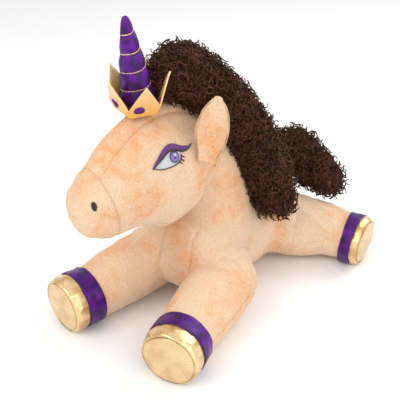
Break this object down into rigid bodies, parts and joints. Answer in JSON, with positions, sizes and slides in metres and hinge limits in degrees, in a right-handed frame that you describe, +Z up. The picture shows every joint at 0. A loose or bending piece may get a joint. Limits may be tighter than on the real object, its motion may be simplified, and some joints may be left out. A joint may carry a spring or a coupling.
{
  "type": "plush unicorn",
  "caption": "Stuffed plush unicorn lying on its belly, with a curly mane and tail, a wound satin horn in a small crown, satin leg bands, shiny hooves and hoop earrings.",
  "frame": {"origin": "on the surface the toy lies on, under the middle of its whole length and width", "axes": "+Z up, -Y the way the toy faces, +X its left side; +Y is the longest extent and +X the shortest"},
  "size_m": [0.2346, 0.333, 0.2858],
  "materials": {
    "black_thread": "black satin stitch",
    "brown_curls": "dark brown curly pile, long and tangled",
    "embroidery": "satin-stitch embroidery in white, blue-violet, purple and black",
    "filling": "white polyester fibre filling",
    "gold_leatherette": "metallic gold leatherette, smooth and shiny",
    "gold_metal": "polished gold-coloured wire",
    "gold_thread": "twisted metallic gold thread",
    "gold_vinyl": "gold foil-faced felt-backed vinyl",
    "plush": "short-pile velboa plush, soft sheen",
    "purple_satin": "purple satin weave, glossy"
  },
  "bodies": {
    "root": {"belly_gusset": "plush", "chest_gusset": "plush", "mane_neck": "brown_curls", "trunk_filling": "filling", "trunk_skin": "plush"},
    "head": {"crown": "gold_vinyl", "crown_gem_1": "purple_satin", "crown_gem_2": "purple_satin", "crown_gem_3": "purple_satin", "crown_gem_4": "purple_satin", "crown_gem_5": "purple_satin", "eye_left": "embroidery", "eye_right": "embroidery", "head_filling": "filling", "head_gusset": "plush", "head_skin": "plush", "horn_filling": "filling", "horn_skin": "purple_satin", "horn_thread": "gold_thread", "mane_forelock": "brown_curls", "muzzle_panel": "plush", "nostril_left": "black_thread", "nostril_right": "black_thread"},
    "ear_left": {"ear_back_left": "plush", "ear_lining_left": "plush"},
    "ear_right": {"ear_back_right": "plush", "ear_lining_right": "plush"},
    "earring_left": {"earring_left": "gold_metal"},
    "earring_right": {"earring_right": "gold_metal"},
    "front_left_leg": {"front_left_filling": "filling", "front_left_hoof": "gold_leatherette", "front_left_leg_skin": "plush", "front_left_ribbon": "purple_satin", "front_left_sole": "gold_leatherette"},
    "front_right_leg": {"front_right_filling": "filling", "front_right_hoof": "gold_leatherette", "front_right_leg_skin": "plush", "front_right_ribbon": "purple_satin", "front_right_sole": "gold_leatherette"},
    "hind_left_leg": {"hind_left_filling": "filling", "hind_left_hoof": "gold_leatherette", "hind_left_leg_skin": "plush", "hind_left_ribbon": "purple_satin", "hind_left_sole": "gold_leatherette"},
    "hind_right_leg": {"hind_right_filling": "filling", "hind_right_hoof": "gold_leatherette", "hind_right_leg_skin": "plush", "hind_right_ribbon": "purple_satin", "hind_right_sole": "gold_leatherette"},
    "tail": {"tail": "brown_curls"}
  },
  "joints": [
    {"name": "front_left_swing", "type": "hinge", "parent": "root", "child": "front_left_leg", "pos_m": [0.042, -0.03977, 0.034], "axis": [0, 0, 1], "range_deg": [-10, 10]},
    {"name": "front_right_swing", "type": "hinge", "parent": "root", "child": "front_right_leg", "pos_m": [-0.042, -0.03977, 0.034], "axis": [0, 0, 1], "range_deg": [-10, 10]},
    {"name": "hind_left_swing", "type": "hinge", "parent": "root", "child": "hind_left_leg", "pos_m": [0.043, 0.08822, 0.036], "axis": [0, 0, 1], "range_deg": [-10, 10]},
    {"name": "hind_right_swing", "type": "hinge", "parent": "root", "child": "hind_right_leg", "pos_m": [-0.043, 0.08822, 0.036], "axis": [0, 0, 1], "range_deg": [-10, 10]},
    {"name": "head_nod", "type": "hinge", "parent": "root", "child": "head", "pos_m": [0, -0.01178, 0.14], "axis": [0.9848, -0.1736, 0], "range_deg": [-7, 7]},
    {"name": "ear_left_fold", "type": "hinge", "parent": "head", "child": "ear_left", "pos_m": [0.03627, -0.05371, 0.164], "axis": [0.8529, 0.4924, -0.1736], "range_deg": [-15, 15]},
    {"name": "earring_left_swing", "type": "hinge", "parent": "ear_left", "child": "earring_left", "pos_m": [0.0374, -0.05306, 0.17139], "axis": [-0.5, 0.866, 0], "range_deg": [-20, 20]},
    {"name": "ear_right_fold", "type": "hinge", "parent": "head", "child": "ear_right", "pos_m": [-0.04842, -0.03878, 0.164], "axis": [0.633, -0.7544, 0.1736], "range_deg": [-15, 15]},
    {"name": "earring_right_swing", "type": "hinge", "parent": "ear_right", "child": "earring_right", "pos_m": [-0.04926, -0.03778, 0.17139], "axis": [0.766, 0.6428, 0], "range_deg": [-20, 20]},
    {"name": "tail_wag", "type": "hinge", "parent": "root", "child": "tail", "pos_m": [0, 0.12823, 0.092], "axis": [0, 0, 1], "range_deg": [-4, 15]}
  ]
}
